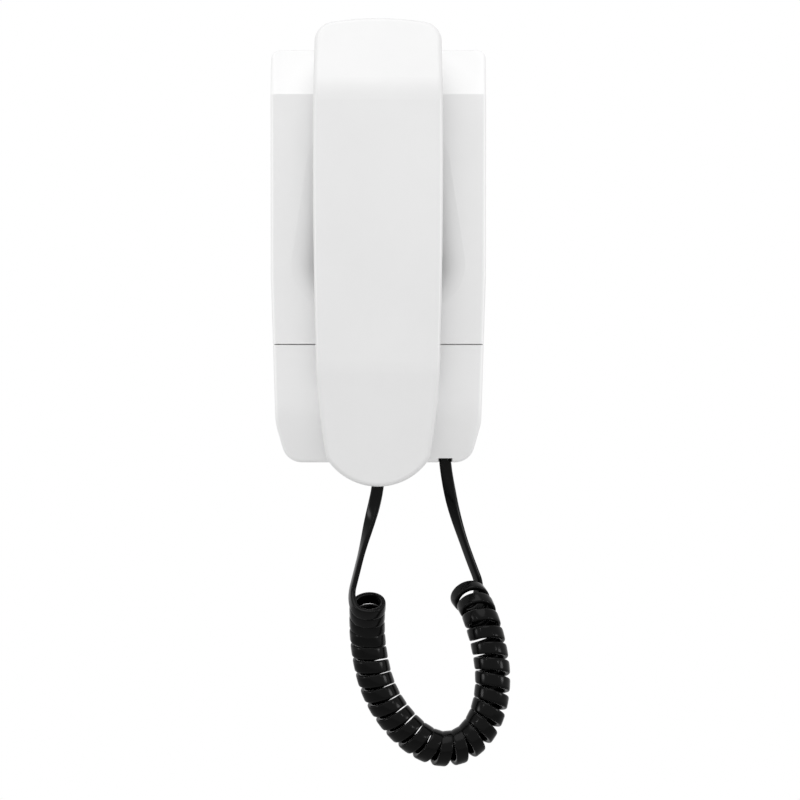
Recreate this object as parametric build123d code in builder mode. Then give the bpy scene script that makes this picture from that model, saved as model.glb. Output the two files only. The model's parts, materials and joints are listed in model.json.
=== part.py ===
from build123d import *
from math import atan2, ceil, cos, pi, radians, sin, sqrt, tan
import os

# Audio intercom for a wall: a shallow base with a cradle, a handset and a curly cord.
# Millimetres. The wall is the plane Y = 0, the front faces -Y and Z is up. The origin is the centre
# of the base's flat back. A depth is a distance from the wall, so it lies along -Y.

os.makedirs("parts", exist_ok=True)

# Casing of the base
base_width = 97.2
base_height = 186.8
base_depth = 30.0
casing_wall = 2.4
split_height = -40.0
split_gap = 0.5
facet_drop = 21.0
facet_setback = 11.0
foot_facet_height = 24.0
foot_facet_setback = 3.4
foot_facet_round = 60.0
base_top_radius = 4.0
base_knee_radius = 20.0
base_foot_radius = 9.0
base_rim_radius = 1.6
lip_height = 2.6
lip_wall = 1.2
lip_clearance = 0.2
# Half outline of the base: share of the half width, share of the height
base_outline_shares = ((1.0, 0.5), (0.997, -0.05), (0.954, -0.405), (0.85, -0.5))

# Cut sizes used all over the part
overrun = 4.0
# Faces whose outward direction has more than this share along the wall's normal count as fronts
facing_share = 0.5
part_clearance = 0.3
slide_clearance = 0.35

# Finger hollow in the base behind the handset's grip
hollow_depth = 12.4
hollow_top = 62.0
hollow_foot = -25.0
hollow_top_margin = 17.6
hollow_foot_margin = 4.6
hollow_corner_radius = 21.0
hollow_floor_radius = 6.0
hollow_side_slope = 22.0
hollow_foot_slope = 12.0
hollow_top_slope = 26.0
# Soft slope into the hollow: share of its depth, share of the slope's width
hollow_slope_shares = ((-0.01, -0.16), (0.015, 0.16), (0.1, 0.41), (0.28, 0.65), (0.6, 0.86), (1.0, 1.0))

# Handset, hung in the cradle
handset_width = 57.6
handset_top = 105.2
handset_bottom = -103.8
handset_gap = 5.0
handset_skirt = 5.0
handset_thickness = 21.0
handset_wall = 2.2
handset_rim_radius = 2.0
handset_top_radius = 9.0
top_facet_height = 32.2
top_facet_setback = 11.2
top_facet_round = 33.0
low_facet_height = 53.0
low_facet_setback = 5.6
low_facet_round = 60.0
belly_drop = 0.8
# Half outline of the handset: share of the half width, share of the length from the bottom
side_shares = ((0.979, 0.985), (1.0, 0.611), (0.962, 0.310), (0.903, 0.162), (0.792, 0.0593))

# Ear and mouth cups of the handset, and the recesses of the cradle that hold them
lift_angle = 30.0
cup_gap = 1.5
cup_width = 48.0
cup_radius = 11.0
ear_cup_height = 30.0
ear_cup_centre = 73.0
mouth_cup_height = 28.0
mouth_cup_centre = -71.0
recess_depth = 19.5
recess_side_clearance = 1.0
recess_top_clearance = 1.2

# Main board and its screws
board_side_gap = 7.2
board_top_gap = 5.6
board_foot_gap = 4.6
board_thickness = 1.6
board_back = 5.0
board_corner_radius = 3.0
board_screw_inset = 5.0
board_screw_top_inset = 7.0
board_screw_foot_inset = 26.0
board_screw_size = 3.0
board_screw_head = 5.6
board_screw_head_height = 2.0
board_screw_reach = 4.0
standoff_diameter = 7.0
pilot_clearance = 0.1
driver_slot = 0.8
driver_slot_depth = 0.9

# Wall fixing and cable entry
wall_screw_pitch = 83.0
wall_screw_hole = 4.6
wall_screw_access = 11.0
cable_hole = 16.0
cable_hole_height = -20.0
board_cable_hole = 19.0

# Screws that hold the covers from behind
cover_screw_inset = 5.2
cover_screw_top_inset = 31.0
cover_screw_split_inset = 14.0
cover_screw_foot_inset = 35.0
cover_screw_size = 2.9
cover_screw_head = 5.2
cover_screw_head_height = 1.4
cover_screw_reach = 5.0
cover_boss_diameter = 6.4
cover_boss_height = 6.4

# Terminal block
terminal_count = 4
terminal_pitch = 5.0
terminal_margin = 1.0
terminal_depth = 9.5
terminal_gap = 0.5
terminal_side_inset = 15.0
terminal_foot_inset = 18.0
terminal_screw_size = 3.4
terminal_screw_sink = 2.0
terminal_screw_height = 5.0
terminal_mouth = 3.0
terminal_mouth_depth = 5.0
terminal_mouth_rise = 2.2

# Call ringer behind the hollow's floor
ringer_diameter = 26.0
ringer_gasket_width = 2.0
ringer_gasket_height = 1.0
ringer_boss_diameter = 16.0
ringer_rise = 28.0
ringer_boss_height = 3.0
ringer_cone_depth = 1.4
ringer_cone_slope = 30.0
sound_hole = 1.8
sound_ring_radius = 5.0
sound_ring_count = 6

# Hook switch in the ear recess
hook_drop = 7.0
hook_body_size = 12.0
hook_stem = 4.0
hook_hole = 4.7
hook_flange = 7.4
hook_flange_height = 1.2
hook_cavity = 8.4
hook_floor = 0.6
hook_roof = 1.2
hook_travel = 4.0
hook_tip_round = 0.8
hook_tip_gap = 0.3

# Door release button in the hollow
door_drop = 36.0
door_cap = 13.0
door_hole = 13.8
door_flange = 16.0
door_flange_height = 1.3
door_rise = 2.4
door_travel = 1.2
door_stem = 3.6
door_cap_round = 0.8
door_switch_size = 12.0
door_switch_height = 3.1
door_switch_round = 0.6

# Springs
spring_wire = 0.5
hook_spring_diameter = 6.4
hook_spring_turns = 2
door_spring_diameter = 7.0
door_spring_turns = 2

# Ringer volume switch in the bottom edge
volume_depth = 14.0
volume_travel = 5.0
volume_body_width = 14.0
volume_body_height = 7.0
volume_body_depth = 10.0
volume_body_gap = 2.6
volume_stem_width = 3.0
volume_stem_depth = 3.0
volume_cap_width = 5.0
volume_cap_rise = 1.4
volume_foot = 3.0
volume_grip = 0.5

# Cord sockets and their plugs
jack_width = 11.0
jack_depth = 10.4
jack_length = 14.0
jack_wall_gap = 0.3
handset_jack_gap = 1.3
plug_offset = 0.3
plug_width = 7.6
plug_depth = 6.4
plug_length = 11.5
plug_clearance = 0.2
plug_tab_width = 3.2
plug_tab_height = 0.8
plug_tab_length = 7.0
slot_width = 6.4
base_slot_height = 4.2
notch_skin = 0.5
base_jack_inset = 18.4

# Parts on the board
transformer_size = 17.0
transformer_depth = 14.0
transformer_gap = 0.9
transformer_side_inset = 14.0
transformer_top_inset = 21.0
transformer_core = 5.0
transformer_coil_inset = 1.2
capacitor_diameter = 8.0
capacitor_gap = 0.9
capacitor_rim = 0.6
capacitor_places_shares = ((0.30, 0.39), (0.30, 0.325), (0.17, -0.265), (0.305, -0.265))
chip_length = 19.0
chip_width = 6.4
chip_height = 3.4
chip_notch = 1.6
chip_places_shares = ((0.29, 0.17), (0.29, 0.03))

# Inside the handset
receiver_diameter = 19.6
receiver_height = 8.0
receiver_lift = 4.15
receiver_gasket_height = 1.0
receiver_gasket_width = 2.0
receiver_dome = 12.0
receiver_dome_height = 1.5
collar_clearance = 0.15
collar_wall = 1.1
collar_height = 3.6
ear_hole = 2.0
ear_ring_radius = 6.0
ear_ring_count = 10
microphone_diameter = 9.6
microphone_height = 5.5
microphone_lift = 2.6
boot_diameter = 13.0
boot_height = 5.0
mouth_hole = 1.5
mouth_ring_radius = 3.2
mouth_ring_count = 6
ballast_width = 15.0
ballast_length = 46.0
ballast_height = 8.0
ballast_z = 6.0
ballast_round = 1.0
rib_height = 3.0
rib_wall = 1.2
handset_screw_heights = (50.0, -38.0)
handset_screw_size = 2.9
handset_screw_head = 5.4
handset_screw_head_height = 1.8
handset_screw_reach = 8.0
handset_screw_seat = 3.2
handset_boss = 8.4
screw_cap_height = 1.2
screw_cap_clearance = 0.15
wire_diameter = 1.2

# Curly cord. The curls are a round tube that fills the flat cord's place
cord_diameter = 3.6
coil_diameter = 15.0
coil_turns = 27
coil_steps = 4
fine_steps = 20
gap_steps = 24
# Longest arc at a corner of a route, as a share of its shorter run
round_share = 0.45

# Routes, chosen by hand: x, depth, z. The leads run straight down from their plugs, then on to the coil
lead_drop = 5.4
lead_handset_points = ((-5.7, 43.2, -126.5), (-11.2, 44.4, -148.6))
lead_base_points = ((35.6, 11.0, -122.5), (44.6, 8.2, -145.5))
# Middle line of the coil from the handset's end to the base's end
coil_points = (
    (-4.8, 46.0, -155.0),
    (-5.0, 39.5, -162.5),
    (-4.9, 36.5, -171.5),
    (-3.6, 35.5, -181.5),
    (-1.0, 34.8, -192.5),
    (4.2, 34.0, -203.3),
    (12.3, 33.0, -213.3),
    (20.5, 32.0, -219.6),
    (29.0, 31.0, -222.6),
    (38.6, 30.0, -220.6),
    (46.2, 29.0, -213.2),
    (50.6, 28.0, -202.5),
    (51.9, 26.8, -189.5),
    (49.9, 24.5, -175.6),
    (46.6, 21.5, -164.5),
    (43.4, 15.6, -156.6),
    (39.6, 8.6, -152.6),
)
# Wires in the handset, past the ballast: x, depth from the handset's rear, z
wire_side = 3.5
wire_stub = 7.0
wire_bend_rise = 7.0
receiver_wire_points = ((13.0, 7.0, -50.0), (15.0, 6.4, -14.0), (14.4, 6.4, 30.0), (10.0, 6.4, 55.0),
                        (3.0, 6.0, 68.0))
microphone_wire_inset = 1.0
microphone_wire_rise = 5.0

lift_rise = tan(radians(lift_angle))
lift_stretch = cos(radians(lift_angle))
lift_direction = (0, -cos(radians(lift_angle)), sin(radians(lift_angle)))
base_half = base_width / 2
base_top = base_height / 2
board_front = board_back + board_thickness
board_width = base_width - 2 * (casing_wall + board_side_gap)
board_top = base_top - casing_wall - board_top_gap
board_bottom = -base_top + casing_wall + board_foot_gap
board_room = recess_depth - casing_wall - board_front
base_jack_x = base_half - base_jack_inset
base_plug_depth = board_front + jack_depth / 2 + plug_offset
parting_depth = base_plug_depth - base_slot_height / 2
cover_screw_x = base_half - cover_screw_inset
cover_screw_heights = (base_top - cover_screw_top_inset, split_height + cover_screw_split_inset,
                       -base_top + cover_screw_foot_inset)
hollow_floor = base_depth - hollow_depth
hollow_top_half = base_half - hollow_top_margin
hollow_foot_half = base_half - hollow_foot_margin
cup_depth = recess_depth + cup_gap
handset_rear = base_depth + handset_gap
handset_parting = handset_rear + handset_skirt
handset_front = handset_rear + handset_thickness
handset_length = handset_top - handset_bottom
facet_foot = base_top - facet_drop
jack_bottom = -base_top + casing_wall + jack_wall_gap
volume_width = volume_stem_width + volume_travel
volume_body_base = -base_top + casing_wall + volume_body_gap
handset_jack_back = handset_rear + handset_wall
handset_jack_bottom = handset_bottom + handset_wall + handset_jack_gap
plug_centre = handset_jack_back + jack_depth / 2 + plug_offset


def save(block, name):
    block.part.label = name
    export_step(block.part, f"parts/{name}.step")


# Circles and rectangles on a plane at a depth, for posts, holes, pads and boxes
def discs(depth, diameter, places):
    with BuildSketch(Plane.XZ.offset(depth)) as face:
        with Locations(*places):
            Circle(diameter / 2)
    return face.sketch


def pads(depth, width, height, places, radius=0.0):
    with BuildSketch(Plane.XZ.offset(depth)) as face:
        with Locations(*places):
            if radius > 0:
                RectangleRounded(width, height, radius)
            else:
                Rectangle(width, height)
    return face.sketch


# A sound hole with a ring of further holes about it
def sound_holes(depth, place, hole, ring, count):
    with BuildSketch(Plane.XZ.offset(depth)) as face:
        with Locations(*place):
            Circle(hole / 2)
            with PolarLocations(ring, count):
                Circle(hole / 2)
    return face.sketch


def at_height(sketch, height):
    return sketch.vertices().filter_by(lambda v: abs(v.Y - height) < part_clearance)


def base_outline(depth, inset):
    with BuildSketch(Plane.XZ.offset(depth)) as outline:
        half = [(base_half * x, base_height * z) for x, z in base_outline_shares]
        with BuildLine():
            Polyline(*half, *[(-x, z) for x, z in reversed(half)], close=True)
        make_face()
        fillet(at_height(outline, half[0][1]), base_top_radius)
        fillet(at_height(outline, half[1][1]), base_knee_radius)
        fillet(at_height(outline, half[2][1]), base_knee_radius)
        fillet(at_height(outline, half[3][1]), base_foot_radius)
        if inset > 0:
            offset(amount=-inset)
    return outline.sketch


# The whole front casing as a plain block, drawn in by the inset all round
def casing_block(inset):
    front = base_depth - inset
    rise = facet_drop + overrun
    back = facet_setback * rise / facet_drop
    foot = foot_facet_height - base_top
    fall = foot_facet_height + overrun
    lift = foot_facet_setback * fall / foot_facet_height
    with BuildPart() as block:
        extrude(base_outline(parting_depth, inset), amount=front - parting_depth)
        with BuildSketch(Plane.YZ.offset(-base_width)) as side:
            with BuildLine():
                Polyline((0, foot - fall), (lift - front, foot - fall), (-front, foot),
                         (-front, facet_foot), (back - front, facet_foot + rise),
                         (0, facet_foot + rise), close=True)
            make_face()
            fillet(at_height(side, foot), foot_facet_round)
        extrude(amount=2 * base_width, mode=Mode.INTERSECT)
    return block.part


# Finger hollow as a solid with soft sloping sides, grown all round for the wall that lines it
def hollow_block(grow):
    with BuildPart() as block:
        for deep, drawn_in in hollow_slope_shares:
            with BuildSketch(Plane.XZ.offset(base_depth - deep * hollow_depth - grow)) as face:
                foot_half = hollow_foot_half - drawn_in * hollow_side_slope
                top_half = hollow_top_half - drawn_in * hollow_side_slope
                foot = hollow_foot + drawn_in * hollow_foot_slope
                top = hollow_top - drawn_in * hollow_top_slope
                with BuildLine():
                    Polyline((-foot_half, foot), (foot_half, foot), (top_half, top), (-top_half, top),
                             close=True)
                make_face()
                tighter = drawn_in * (hollow_corner_radius - hollow_floor_radius)
                fillet(face.vertices(), hollow_corner_radius - tighter)
                offset(amount=grow)
        loft()
    return block.part


# A cup, or the recess that takes it, leans up along the way the handset lifts off
def cup_block(centre, height, width, back, front, radius, low=0.0, high=0.0):
    middle = centre + (back - cup_depth) * lift_rise + (high - low) / 2
    with BuildPart() as block:
        with BuildSketch(Plane.XZ.offset(back)):
            with Locations((0, middle)):
                RectangleRounded(width, height + low + high, radius)
        extrude(amount=(front - back) / lift_stretch, dir=lift_direction)
    return block.part


def recess_block(centre, height, grow):
    return cup_block(centre, height, cup_width + 2 * (recess_side_clearance + grow), recess_depth - grow,
                     base_depth + overrun, cup_radius + recess_side_clearance + grow,
                     slide_clearance + grow, recess_top_clearance + grow)


hook_place = [(0, ear_cup_centre - hook_drop)]
door_place = [(0, hollow_top - door_drop)]
ringer_place = [(0, hollow_foot + ringer_rise)]
cups = ((ear_cup_centre, ear_cup_height), (mouth_cup_centre, mouth_cup_height))

# Casing before it is cut into its two covers
casing_core = casing_block(casing_wall)
casing_skin = casing_block(0)
pocket_walls = [hollow_block(casing_wall)] + [recess_block(z, h, casing_wall) for z, h in cups]
pockets = [hollow_block(0)] + [recess_block(z, h, 0) for z, h in cups]
lip_root_skin = casing_block(casing_wall - lip_clearance)
lip_tongue_skin = casing_block(casing_wall + lip_clearance)
lip_bore = casing_block(casing_wall + lip_wall)

with BuildPart() as casing:
    add(casing_skin)
    rim = casing.faces().filter_by(lambda f: f.normal_at().Y < -facing_share).edges()
    rim = rim.filter_by(lambda e: abs((e @ 0.5).Z - facet_foot) > part_clearance)
    fillet(rim, base_rim_radius)
    add(casing_core, mode=Mode.SUBTRACT)

with BuildPart() as lining:
    for wall_block in pocket_walls:
        add(wall_block)
    add(casing_core, mode=Mode.INTERSECT)

cover_screw_places = [(side * cover_screw_x, z) for z in cover_screw_heights for side in (-1, 1)]

with BuildPart() as cover:
    add(casing.part)
    add(lining.part)
    extrude(discs(parting_depth, cover_boss_diameter, cover_screw_places), amount=cover_boss_height)
    for pocket in pockets:
        add(pocket, mode=Mode.SUBTRACT)
    add(casing_skin, mode=Mode.INTERSECT)
    extrude(discs(parting_depth, cover_screw_size + pilot_clearance, cover_screw_places),
            amount=cover_screw_reach + part_clearance, mode=Mode.SUBTRACT)

with BuildPart() as front_cover:
    add(cover.part)
    split(bisect_by=Plane.XY.offset(split_height), keep=Keep.TOP)
    cut_depth = casing_wall + 2 * overrun
    extrude(discs(recess_depth - casing_wall - overrun, hook_hole, hook_place), amount=cut_depth,
            mode=Mode.SUBTRACT)
    extrude(discs(hollow_floor - casing_wall - overrun, door_hole, door_place), amount=cut_depth,
            mode=Mode.SUBTRACT)
    extrude(sound_holes(hollow_floor - casing_wall - overrun, ringer_place, sound_hole, sound_ring_radius,
                        sound_ring_count), amount=cut_depth, mode=Mode.SUBTRACT)
save(front_cover, "front_cover")

# Tongue of the lower cover that slips inside the front cover at the split
with BuildPart() as lip_root:
    add(lip_root_skin)
    add(lip_bore, mode=Mode.SUBTRACT)
    split(bisect_by=Plane.XY.offset(split_height - split_gap), keep=Keep.BOTTOM)
    split(bisect_by=Plane.XY.offset(split_height - split_gap - lip_height), keep=Keep.TOP)

with BuildPart() as lip_tongue:
    add(lip_tongue_skin)
    add(lip_bore, mode=Mode.SUBTRACT)
    split(bisect_by=Plane.XY.offset(split_height + lip_height), keep=Keep.BOTTOM)
    split(bisect_by=Plane.XY.offset(split_height - split_gap - lip_height), keep=Keep.TOP)

with BuildPart() as lower_cover:
    add(cover.part)
    split(bisect_by=Plane.XY.offset(split_height - split_gap), keep=Keep.BOTTOM)
    add(lip_root.part)
    add(lip_tongue.part)
    extrude(pads(parting_depth, slot_width, 2 * (casing_wall + overrun), [(base_jack_x, -base_top)]),
            amount=base_slot_height, mode=Mode.SUBTRACT)
    # Notch in the bottom edge where the cord comes out
    extrude(pads(parting_depth, slot_width, 2 * (casing_wall - notch_skin), [(base_jack_x, -base_top)]),
            amount=base_depth, mode=Mode.SUBTRACT)
    extrude(pads(volume_depth - volume_stem_depth / 2 - part_clearance, volume_width + 2 * part_clearance,
                 2 * (casing_wall + overrun), [(0, -base_top)]),
            amount=volume_stem_depth + 2 * part_clearance, mode=Mode.SUBTRACT)
save(lower_cover, "lower_cover")


board_screw_x = board_width / 2 - board_screw_inset
board_screw_heights = (board_top - board_screw_top_inset, board_bottom + board_screw_foot_inset)
board_screw_places = [(side * board_screw_x, z) for z in board_screw_heights for side in (-1, 1)]
wall_screw_places = [(0, wall_screw_pitch / 2), (0, -wall_screw_pitch / 2)]
cover_screw_seat = cover_screw_head_height + part_clearance

with BuildPart() as rear_cover:
    extrude(base_outline(0, 0), amount=parting_depth)
    extrude(base_outline(casing_wall, casing_wall), amount=parting_depth, mode=Mode.SUBTRACT)
    extrude(discs(casing_wall, cover_boss_diameter, cover_screw_places), amount=parting_depth - casing_wall)
    extrude(base_outline(0, 0), amount=parting_depth, mode=Mode.INTERSECT)
    extrude(discs(casing_wall, standoff_diameter, board_screw_places), amount=board_back - casing_wall)
    screw_hole = board_screw_size + pilot_clearance
    extrude(discs(board_back - board_screw_reach - part_clearance, screw_hole, board_screw_places),
            amount=board_screw_reach + part_clearance, mode=Mode.SUBTRACT)
    extrude(discs(0, cover_screw_size + part_clearance, cover_screw_places), amount=parting_depth,
            mode=Mode.SUBTRACT)
    extrude(discs(0, cover_screw_head + part_clearance, cover_screw_places), amount=cover_screw_seat,
            mode=Mode.SUBTRACT)
    extrude(discs(0, wall_screw_hole, wall_screw_places), amount=casing_wall, mode=Mode.SUBTRACT)
    extrude(discs(0, cable_hole, [(0, cable_hole_height)]), amount=casing_wall, mode=Mode.SUBTRACT)
save(rear_cover, "rear_cover")


# Pan head screws that point at the front or at the wall, as separate solids in one group
def screws(places, seat, size, head, head_height, reach, way):
    with BuildPart() as group:
        extrude(discs(seat, head, places), amount=-way * head_height)
        extrude(discs(seat, size, places), amount=way * reach)
        top = seat - way * head_height
        extrude(pads(top, head, driver_slot, places), amount=way * driver_slot_depth, mode=Mode.SUBTRACT)
    return group


cover_screws = screws(cover_screw_places, cover_screw_seat, cover_screw_size, cover_screw_head,
                      cover_screw_head_height, parting_depth - cover_screw_seat + cover_screw_reach, 1)
save(cover_screws, "cover_screws")

with BuildPart() as main_board:
    middle = (board_top + board_bottom) / 2
    extrude(pads(board_back, board_width, board_top - board_bottom, [(0, middle)], board_corner_radius),
            amount=board_thickness)
    extrude(discs(board_back, board_screw_size + part_clearance, board_screw_places),
            amount=board_thickness, mode=Mode.SUBTRACT)
    extrude(discs(board_back, wall_screw_access, wall_screw_places), amount=board_thickness,
            mode=Mode.SUBTRACT)
    extrude(discs(board_back, board_cable_hole, [(0, cable_hole_height)]), amount=board_thickness,
            mode=Mode.SUBTRACT)
save(main_board, "main_board")

board_screws = screws(board_screw_places, board_front, board_screw_size, board_screw_head,
                      board_screw_head_height, board_thickness + board_screw_reach, -1)
save(board_screws, "board_screws")

# Terminal block: a row of clamps with a wire mouth below and a screw in front
terminal_width = terminal_count * terminal_pitch + 2 * terminal_margin
terminal_height = board_room - terminal_gap
terminal_x = terminal_side_inset - board_width / 2
terminal_z = board_bottom + terminal_foot_inset
terminal_places = [(terminal_x + (i - (terminal_count - 1) / 2) * terminal_pitch, terminal_z)
                   for i in range(terminal_count)]
terminal_top = board_front + terminal_height

with BuildPart() as terminal_block:
    extrude(pads(board_front, terminal_width, terminal_depth, [(terminal_x, terminal_z)]),
            amount=terminal_height)
    extrude(discs(terminal_top, terminal_screw_size + part_clearance, terminal_places),
            amount=-terminal_screw_sink - terminal_screw_height, mode=Mode.SUBTRACT)
    mouths = [(x, z - terminal_depth / 2 + terminal_mouth_depth / 2) for x, z in terminal_places]
    extrude(pads(board_front + terminal_margin, terminal_mouth, terminal_mouth_depth, mouths),
            amount=terminal_mouth_rise, mode=Mode.SUBTRACT)
save(terminal_block, "terminal_block")

with BuildPart() as terminal_screws:
    seat = terminal_top - terminal_screw_sink - terminal_screw_height
    extrude(discs(seat, terminal_screw_size, terminal_places), amount=terminal_screw_height)
    extrude(pads(seat + terminal_screw_height, terminal_screw_size, driver_slot, terminal_places),
            amount=-driver_slot_depth, mode=Mode.SUBTRACT)
save(terminal_screws, "terminal_screws")

# Call ringer: a magnet pot on the board, a frame with a shallow cone, and a gasket to the cover
ringer_top = hollow_floor - casing_wall - ringer_gasket_height

with BuildPart() as ringer_speaker:
    extrude(discs(board_front, ringer_boss_diameter, ringer_place), amount=ringer_boss_height)
    extrude(discs(board_front + ringer_boss_height, ringer_diameter, ringer_place),
            amount=ringer_top - board_front - ringer_boss_height)
    extrude(discs(ringer_top, ringer_diameter - 2 * ringer_gasket_width, ringer_place),
            amount=-ringer_cone_depth, taper=-ringer_cone_slope, mode=Mode.SUBTRACT)
save(ringer_speaker, "ringer_speaker")

with BuildPart() as ringer_gasket:
    extrude(discs(ringer_top, ringer_diameter, ringer_place), amount=ringer_gasket_height)
    extrude(discs(ringer_top, ringer_diameter - 2 * ringer_gasket_width, ringer_place),
            amount=ringer_gasket_height, mode=Mode.SUBTRACT)
save(ringer_gasket, "ringer_gasket")

# Hook switch: the handset's ear cup holds its plunger in
hook_body_height = board_room - part_clearance
hook_cavity_floor = board_front + hook_floor
hook_body_top = board_front + hook_body_height
hook_flange_back = hook_body_top - hook_roof - part_clearance - hook_travel - hook_flange_height

with BuildPart() as hook_switch_body:
    extrude(pads(board_front, hook_body_size, hook_body_size, hook_place), amount=hook_body_height)
    extrude(discs(hook_cavity_floor, hook_cavity, hook_place),
            amount=hook_body_top - hook_roof - hook_cavity_floor, mode=Mode.SUBTRACT)
    extrude(discs(hook_cavity_floor, hook_hole, hook_place), amount=hook_body_height, mode=Mode.SUBTRACT)
save(hook_switch_body, "hook_switch_body")

with BuildPart() as hook_plunger:
    extrude(discs(hook_flange_back, hook_flange, hook_place), amount=hook_flange_height)
    extrude(discs(hook_flange_back, hook_stem, hook_place),
            amount=cup_depth - hook_tip_gap - hook_flange_back)
    tip = hook_plunger.faces().sort_by(Axis.Y)[0]
    fillet(tip.edges(), hook_tip_round)
save(hook_plunger, "hook_plunger")

# Door release button, its switch on the board and the hollow between them
door_flange_top = hollow_floor - casing_wall - part_clearance
door_flange_back = door_flange_top - door_flange_height
door_switch_top = board_front + door_switch_height

with BuildPart() as door_button:
    extrude(discs(door_flange_back, door_flange, door_place), amount=door_flange_height)
    extrude(discs(door_flange_top, door_cap, door_place), amount=hollow_floor + door_rise - door_flange_top)
    face = door_button.faces().sort_by(Axis.Y)[0]
    fillet(face.edges(), door_cap_round)
    extrude(discs(door_flange_back, door_stem, door_place),
            amount=door_switch_top + door_travel + part_clearance - door_flange_back)
save(door_button, "door_button")

with BuildPart() as door_switch:
    extrude(pads(board_front, door_switch_size, door_switch_size, door_place, door_switch_round),
            amount=door_switch_height)
save(door_switch, "door_switch")

# Ringer volume switch on the board's lower end, its knob through the lower cover's edge
volume_middle = volume_body_base + volume_body_height / 2
volume_slot_height = volume_foot + part_clearance
volume_cap_top = -base_top - part_clearance

with BuildPart() as volume_switch_body:
    extrude(pads(board_front, volume_body_width, volume_body_height, [(0, volume_middle)]),
            amount=volume_body_depth)
    slot = pads(volume_depth - volume_stem_depth / 2 - part_clearance, volume_width + 2 * part_clearance,
                2 * volume_slot_height, [(0, volume_body_base)])
    extrude(slot, amount=volume_stem_depth + 2 * part_clearance, mode=Mode.SUBTRACT)
save(volume_switch_body, "volume_switch_body")

with BuildPart() as volume_knob:
    stem_top = volume_body_base + volume_foot
    stem_middle = (stem_top + volume_cap_top) / 2
    back = volume_depth - volume_stem_depth / 2
    extrude(pads(back, volume_stem_width, stem_top - volume_cap_top, [(0, stem_middle)]),
            amount=volume_stem_depth)
    cap = pads(back, volume_cap_width, volume_cap_rise, [(0, volume_cap_top - volume_cap_rise / 2)])
    extrude(cap, amount=volume_stem_depth)
    grip = volume_knob.edges().group_by(Axis.Z)[0].filter_by(Axis.Y)
    chamfer(grip, volume_grip)
save(volume_knob, "volume_knob")


# Modular cord socket, open at the bottom, and the plug that fills it
def jack(x, back, bottom):
    centre = back + jack_depth / 2 + plug_offset
    mouth = plug_depth / 2 + plug_clearance
    height = plug_length + plug_clearance
    with BuildPart() as body:
        extrude(pads(back, jack_width, jack_length, [(x, bottom + jack_length / 2)]), amount=jack_depth)
        bore = pads(centre - mouth, plug_width + 2 * plug_clearance, 2 * height, [(x, bottom)])
        extrude(bore, amount=2 * mouth, mode=Mode.SUBTRACT)
        groove = pads(centre + mouth - plug_clearance, plug_tab_width + 2 * plug_clearance,
                      2 * (plug_tab_length + plug_clearance), [(x, bottom)])
        extrude(groove, amount=plug_tab_height + 2 * plug_clearance, mode=Mode.SUBTRACT)
    return body


def plug(x, back, bottom):
    centre = back + jack_depth / 2 + plug_offset
    with BuildPart() as body:
        block = pads(centre - plug_depth / 2, plug_width, plug_length, [(x, bottom + plug_length / 2)])
        extrude(block, amount=plug_depth)
        tab = pads(centre + plug_depth / 2, plug_tab_width, plug_tab_length,
                   [(x, bottom + plug_tab_length / 2)])
        extrude(tab, amount=plug_tab_height)
    return body


save(jack(base_jack_x, board_front, jack_bottom), "base_jack")
save(plug(base_jack_x, board_front, jack_bottom), "base_plug")
save(jack(0, handset_jack_back, handset_jack_bottom), "handset_jack")
save(plug(0, handset_jack_back, handset_jack_bottom), "handset_plug")

# Line transformer: a laminated core round a wound coil
transformer_height = board_room - transformer_gap
transformer_x = transformer_side_inset - board_width / 2
transformer_z = board_top - transformer_top_inset

with BuildPart() as line_transformer:
    place = [(transformer_x, transformer_z)]
    extrude(pads(board_front, transformer_size, transformer_depth, place), amount=transformer_height)
    core_rise = (transformer_height - transformer_core) / 2
    for side in (-1, 1):
        edge = transformer_z + side * (transformer_depth - transformer_coil_inset) / 2
        strip = pads(board_front, transformer_size, transformer_coil_inset, [(transformer_x, edge)])
        extrude(strip, amount=core_rise, mode=Mode.SUBTRACT)
        top_strip = pads(board_front + transformer_height, transformer_size, transformer_coil_inset,
                         [(transformer_x, edge)])
        extrude(top_strip, amount=-core_rise, mode=Mode.SUBTRACT)
save(line_transformer, "line_transformer")

with BuildPart() as capacitors:
    places = [(base_width * x, base_height * z) for x, z in capacitor_places_shares]
    extrude(discs(board_front, capacitor_diameter, places), amount=board_room - capacitor_gap)
    tops = capacitors.edges().filter_by(GeomType.CIRCLE).group_by(Axis.Y)[0]
    fillet(tops, capacitor_rim)
save(capacitors, "capacitors")

with BuildPart() as board_chips:
    places = [(base_width * x, base_height * z) for x, z in chip_places_shares]
    extrude(pads(board_front, chip_width, chip_length, places), amount=chip_height)
    notches = [(x, z + chip_length / 2) for x, z in places]
    extrude(discs(board_front + chip_height, chip_notch, notches), amount=-chip_notch, mode=Mode.SUBTRACT)
save(board_chips, "board_chips")


def handset_height(share):
    return handset_bottom + share * handset_length


def handset_outline(depth, inset):
    corner, widest, waist, cheek, jaw = [(handset_width / 2 * x, handset_height(z)) for x, z in side_shares]
    left = [(-x, z) for x, z in (corner, widest, waist, cheek, jaw)]
    with BuildSketch(Plane.XZ.offset(depth)) as outline:
        with BuildLine():
            ThreePointArc(left[0], (0, handset_top), corner)
            ThreePointArc(corner, widest, waist)
            ThreePointArc(waist, cheek, jaw)
            ThreePointArc(jaw, (0, handset_bottom), left[4])
            ThreePointArc(left[4], left[3], left[2])
            ThreePointArc(left[2], left[1], left[0])
        make_face()
        if inset > 0:
            offset(amount=-inset, kind=Kind.INTERSECTION)
        fillet(outline.vertices(), handset_top_radius - inset)
    return outline.sketch


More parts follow.
